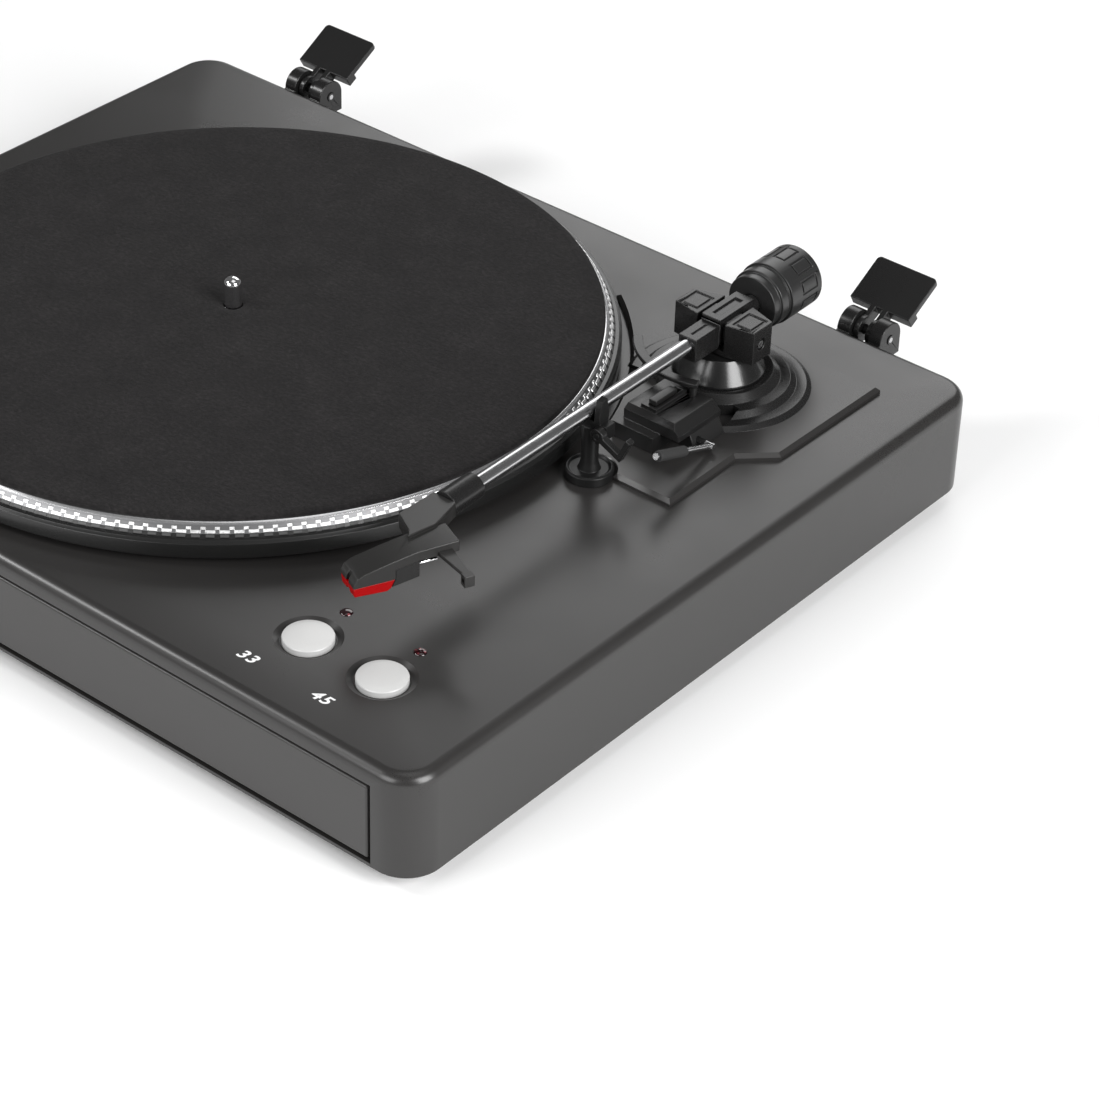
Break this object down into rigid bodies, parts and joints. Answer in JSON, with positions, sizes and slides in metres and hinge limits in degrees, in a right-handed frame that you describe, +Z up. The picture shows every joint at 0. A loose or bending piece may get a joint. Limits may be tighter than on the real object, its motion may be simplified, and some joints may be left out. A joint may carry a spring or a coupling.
{
  "type": "turntable record player",
  "caption": "Low black belt-drive record player with a felt-covered platter, a straight counterweighted tonearm, cueing lift, round speed buttons and dust-cover hinges.",
  "frame": {"origin": "on the surface that the feet stand on, below the middle of the outline of the plinth and its rear hinges", "axes": "+X to the right seen from the front, +Y from the front panel to the hinges, +Z up"},
  "size_m": [0.43, 0.3748, 0.0952],
  "materials": {
    "plinth_black": "satin moulded plastic",
    "panel_black": "satin moulded plastic",
    "cover_black": "fine textured plastic",
    "rubber_black": "matte rubber",
    "steel": "zinc plated",
    "cast_aluminium": "machined",
    "platter_aluminium": "satin with a polished edge",
    "brass": "turned",
    "chrome": "polished",
    "mat_felt": "short felt",
    "board_green": "coated fibreglass",
    "arm_black": "satin moulded plastic",
    "gloss_black": "glossy moulded plastic",
    "weight_black": "black satin",
    "button_white": "satin moulded plastic",
    "lamp_red": "clear dark red plastic",
    "stylus_red": "glossy moulded plastic",
    "jack_white": "moulded plastic",
    "jack_red": "moulded plastic",
    "arm_metal": "polished tube"
  },
  "bodies": {
    "base": {"plinth": "plinth_black", "front_panel": "panel_black", "bottom_cover": "cover_black", "foot_front_left": "rubber_black", "foot_front_right": "rubber_black", "foot_rear_left": "rubber_black", "foot_rear_right": "rubber_black", "case_screws": "steel", "bearing_housing": "cast_aluminium", "bearing_bush": "brass", "drive_belt": "rubber_black", "motor": "steel", "motor_plate": "steel", "motor_grommets": "rubber_black", "control_board": "board_green", "push_switches": "arm_black", "led_33": "lamp_red", "led_45": "lamp_red", "jack_board": "board_green", "rca_left": "jack_white", "rca_right": "jack_red", "ground_post": "steel", "dc_socket": "arm_black", "tonearm_base": "arm_black", "pivot_cone": "gloss_black", "swing_bush": "brass", "lift_housing": "arm_black", "arm_rest": "arm_black", "hinge_bracket_left": "arm_black", "hinge_bracket_right": "arm_black", "hinge_pin_left": "steel", "hinge_pin_right": "steel"},
    "platter_body": {"spindle": "chrome", "platter": "platter_aluminium", "slip_mat": "mat_felt"},
    "pulley": {"motor_pulley": "brass"},
    "start_33": {"button_33": "button_white"},
    "start_45": {"button_45": "button_white"},
    "output_key": {"line_switch": "arm_black"},
    "swing": {"gimbal_yoke": "arm_black", "pivot_screw_left": "steel", "pivot_screw_right": "steel"},
    "arm": {"arm_carrier": "arm_black", "arm_tube": "arm_metal", "headshell_collar": "arm_black", "headshell": "arm_black", "cartridge": "arm_black", "stylus_holder": "stylus_red", "cantilever": "steel", "finger_lift": "arm_black"},
    "dial": {"force_dial": "gloss_black"},
    "weight": {"counterweight": "weight_black"},
    "cue": {"cue_lever": "steel", "cue_grip": "arm_black"},
    "lift": {"lift_bar": "arm_black"},
    "antiskate": {"antiskate_slider": "arm_black"},
    "clip": {"rest_clip": "arm_black"},
    "flap_left": {"hinge_flap_left": "arm_black"},
    "flap_right": {"hinge_flap_right": "arm_black"}
  },
  "joints": [
    {"name": "platter_spin", "type": "hinge", "parent": "base", "child": "platter_body", "pos_m": [-0.028, -0.02189, 0.055], "axis": [0, 0, -1], "continuous": true},
    {"name": "pulley_spin", "type": "hinge", "parent": "base", "child": "pulley", "pos_m": [-0.11807, 0.03011, 0.058], "axis": [0, 0, -1], "continuous": true},
    {"name": "button_33_press", "type": "slide", "parent": "base", "child": "start_33", "axis": [0, 0, -1], "range_m": [0, 0.0012], "stiffness_N_per_m": 500, "springref_m": -0.001},
    {"name": "button_45_press", "type": "slide", "parent": "base", "child": "start_45", "axis": [0, 0, -1], "range_m": [0, 0.0012], "stiffness_N_per_m": 500, "springref_m": -0.001},
    {"name": "output_select", "type": "slide", "parent": "base", "child": "output_key", "axis": [1, 0, 0], "range_m": [0, 0.0044]},
    {"name": "arm_swing", "type": "hinge", "parent": "base", "child": "swing", "pos_m": [0.138, 0.08161, 0.06], "axis": [0, 0, -1], "range_deg": [0, 45]},
    {"name": "arm_raise", "type": "hinge", "parent": "swing", "child": "arm", "pos_m": [0.138, 0.08161, 0.08], "axis": [-0.9999, -0.014, 0], "range_deg": [0, 10]},
    {"name": "weight_travel", "type": "slide", "parent": "arm", "child": "dial", "axis": [-0.014, 0.9999, 0], "range_m": [-0.001, 0.003]},
    {"name": "weight_turn", "type": "hinge", "parent": "dial", "child": "weight", "pos_m": [0.13747, 0.11961, 0.082], "axis": [-0.014, 0.9999, 0], "range_deg": [-181.5, 541.5]},
    {"name": "cue_turn", "type": "hinge", "parent": "base", "child": "cue", "pos_m": [0.16, 0.03961, 0.0575], "axis": [-1, 0, 0], "range_deg": [0, 40]},
    {"name": "lift_raise", "type": "slide", "parent": "base", "child": "lift", "axis": [0, 0, 1], "range_m": [0, 0.00481]},
    {"name": "antiskate_slide", "type": "slide", "parent": "base", "child": "antiskate", "axis": [0, 1, 0], "range_m": [0, 0.006]},
    {"name": "rest_clip_turn", "type": "hinge", "parent": "base", "child": "clip", "pos_m": [0.14671, -0.00488, 0.0755], "axis": [0.014, -0.9999, 0], "range_deg": [0, 115]},
    {"name": "hinge_left_turn", "type": "hinge", "parent": "base", "child": "flap_left", "pos_m": [-0.1555, 0.16061, 0.0497], "axis": [1, 0, 0], "range_deg": [-12, 60]},
    {"name": "hinge_right_turn", "type": "hinge", "parent": "base", "child": "flap_right", "pos_m": [0.1555, 0.16061, 0.0497], "axis": [1, 0, 0], "range_deg": [-12, 60]}
  ],
  "couplings": [
    {"joint": "pulley_spin", "follows": "platter_spin", "ratio": 12.5},
    {"joint": "weight_turn", "follows": "weight_travel", "rad_per_m": 3141.6},
    {"joint": "lift_raise", "follows": "cue_turn", "m_per_rad": 0.0068755}
  ]
}
